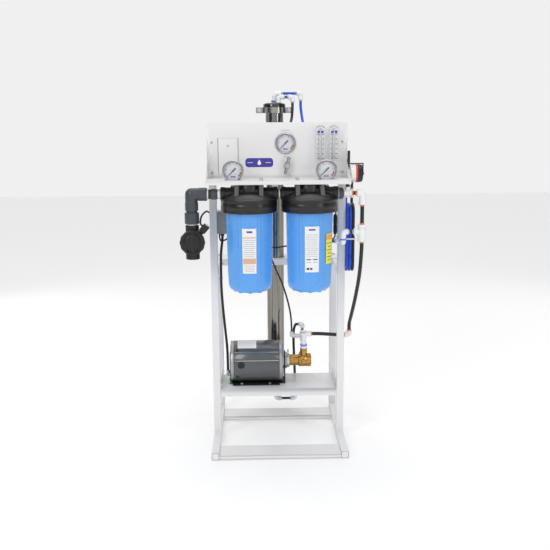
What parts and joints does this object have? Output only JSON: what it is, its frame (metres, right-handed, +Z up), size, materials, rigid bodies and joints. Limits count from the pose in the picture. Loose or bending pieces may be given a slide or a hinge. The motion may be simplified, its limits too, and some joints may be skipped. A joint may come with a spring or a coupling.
{
  "type": "reverse osmosis unit",
  "caption": "Free-standing reverse osmosis unit: two filter housings, steel membrane vessel, motor with brass pump, gauges, flow meters and needle valve on a white square-tube stand.",
  "frame": {"origin": "centre of the footprint of the whole unit, on the floor", "axes": "+Z up; +X to the right as seen from the instrument side; +Y from the front to the back"},
  "size_m": [0.6055, 0.4744, 1.2105],
  "materials": {
    "stand_paint": "satin",
    "white_plastic": "satin",
    "badge_blue": "gloss",
    "zinc": "satin",
    "polished_steel": "polished",
    "dial_white": "matt",
    "clear_plastic": "clear",
    "pointer_black": "matt",
    "float_red": "gloss",
    "black_plastic": "satin",
    "sump_blue": "semi-gloss",
    "cartridge_white": "matt",
    "seal_rubber": "matt",
    "grey_pvc": "satin",
    "tape_white": "matt",
    "collet_orange": "gloss",
    "clip_blue": "gloss",
    "tube_black": "satin",
    "tube_blue": "satin",
    "cast_steel": "cast and polished",
    "membrane_white": "matt",
    "motor_grey": "satin",
    "bell_aluminium": "satin",
    "stator_iron": "lacquered",
    "rotor_steel": "machined",
    "pump_brass": "machined",
    "box_grey": "satin",
    "cable_black": "satin"
  },
  "bodies": {
    "unit": {"base_rails": "stand_paint", "front_uprights": "stand_paint", "rear_frame_tubes": "stand_paint", "base_crossbars": "stand_paint", "pump_shelf": "stand_paint", "vessel_plate": "stand_paint", "instrument_panel": "stand_paint", "access_cover": "white_plastic", "badge": "badge_blue", "fasteners": "zinc", "gauge_cases": "polished_steel", "gauge_dials": "dial_white", "gauge_lenses": "clear_plastic", "flowmeter_bodies": "clear_plastic", "needle_valve_body": "polished_steel", "filter_heads": "black_plastic", "sump_seals": "seal_rubber", "pipe_fittings": "grey_pvc", "thread_tape": "tape_white", "solenoid_body": "black_plastic", "solenoid_bonnet": "black_plastic", "solenoid_coil": "black_plastic", "switch_body": "zinc", "switch_cap": "black_plastic", "tube_elbows": "white_plastic", "tube_tees": "white_plastic", "tube_collets": "collet_orange", "locking_clips": "clip_blue", "black_tubes": "tube_black", "blue_tube": "tube_blue", "blue_hank": "tube_blue", "black_hank": "tube_black", "hank_tie": "white_plastic", "vessel_shell": "polished_steel", "vessel_end_caps": "black_plastic", "vessel_clamps": "cast_steel", "membrane_element": "membrane_white", "motor_shell": "motor_grey", "motor_endbells": "bell_aluminium", "motor_base": "motor_grey", "motor_stator": "stator_iron", "pump_clamp": "zinc", "pump_body": "pump_brass", "junction_box": "box_grey", "cables": "cable_black"},
    "feed_hand": {"feed_pointer": "pointer_black"},
    "filtered_hand": {"filtered_pointer": "pointer_black"},
    "membrane_hand": {"membrane_pointer": "pointer_black"},
    "product_float_body": {"product_float": "float_red"},
    "waste_float_body": {"waste_float": "float_red"},
    "valve_handle": {"needle_valve_handle": "polished_steel"},
    "valve_needle": {"needle_valve_needle": "polished_steel"},
    "sediment_bowl": {"sediment_sump": "sump_blue", "sediment_cartridge": "cartridge_white"},
    "carbon_bowl": {"carbon_sump": "sump_blue", "carbon_cartridge": "cartridge_white"},
    "valve_plunger": {"solenoid_plunger": "polished_steel"},
    "shaft": {"motor_rotor": "rotor_steel", "pump_rotor": "rotor_steel"},
    "lever": {"switch_lever": "black_plastic"}
  },
  "joints": [
    {"name": "feed_gauge_hand", "type": "hinge", "parent": "unit", "child": "feed_hand", "pos_m": [-0.131, -0.143, 0.9495], "axis": [0, 1, 0], "range_deg": [0, 270]},
    {"name": "filtered_gauge_hand", "type": "hinge", "parent": "unit", "child": "filtered_hand", "pos_m": [0.1685, -0.143, 0.9495], "axis": [0, 1, 0], "range_deg": [0, 270]},
    {"name": "membrane_gauge_hand", "type": "hinge", "parent": "unit", "child": "membrane_hand", "pos_m": [0.0403, -0.068, 1.033], "axis": [0, 1, 0], "range_deg": [0, 270]},
    {"name": "product_float_rise", "type": "slide", "parent": "unit", "child": "product_float_body", "axis": [0, 0, 1], "range_m": [0, 0.07]},
    {"name": "waste_float_rise", "type": "slide", "parent": "unit", "child": "waste_float_body", "axis": [0, 0, 1], "range_m": [0, 0.07]},
    {"name": "needle_valve_turn", "type": "hinge", "parent": "unit", "child": "valve_handle", "pos_m": [0.045, -0.059, 0.961], "axis": [0, 1, 0], "range_deg": [-1170, 630]},
    {"name": "needle_travel", "type": "slide", "parent": "unit", "child": "valve_needle", "axis": [0, 1, 0], "range_m": [-0.0035, 0.002]},
    {"name": "sediment_sump_turn", "type": "hinge", "parent": "unit", "child": "sediment_bowl", "pos_m": [-0.0805, -0.143, 0.836], "axis": [0, 0, 1], "range_deg": [-1080, 0]},
    {"name": "carbon_sump_turn", "type": "hinge", "parent": "unit", "child": "carbon_bowl", "pos_m": [0.114, -0.143, 0.836], "axis": [0, 0, 1], "range_deg": [-1080, 0]},
    {"name": "solenoid_plunger_lift", "type": "slide", "parent": "unit", "child": "valve_plunger", "axis": [0.6691, 0, 0.7431], "range_m": [0, 0.003], "stiffness_N_per_m": 300, "springref_m": -0.001},
    {"name": "motor_shaft_spin", "type": "hinge", "parent": "unit", "child": "shaft", "pos_m": [-0.047, 0.031, 0.26], "axis": [1, 0, 0], "continuous": true},
    {"name": "switch_lever_tilt", "type": "hinge", "parent": "unit", "child": "lever", "pos_m": [0.289, -0.119, 0.937], "axis": [1, 0, 0], "range_deg": [0, 75]}
  ],
  "couplings": [
    {"joint": "needle_travel", "follows": "needle_valve_turn", "m_per_rad": 0.00015915}
  ]
}
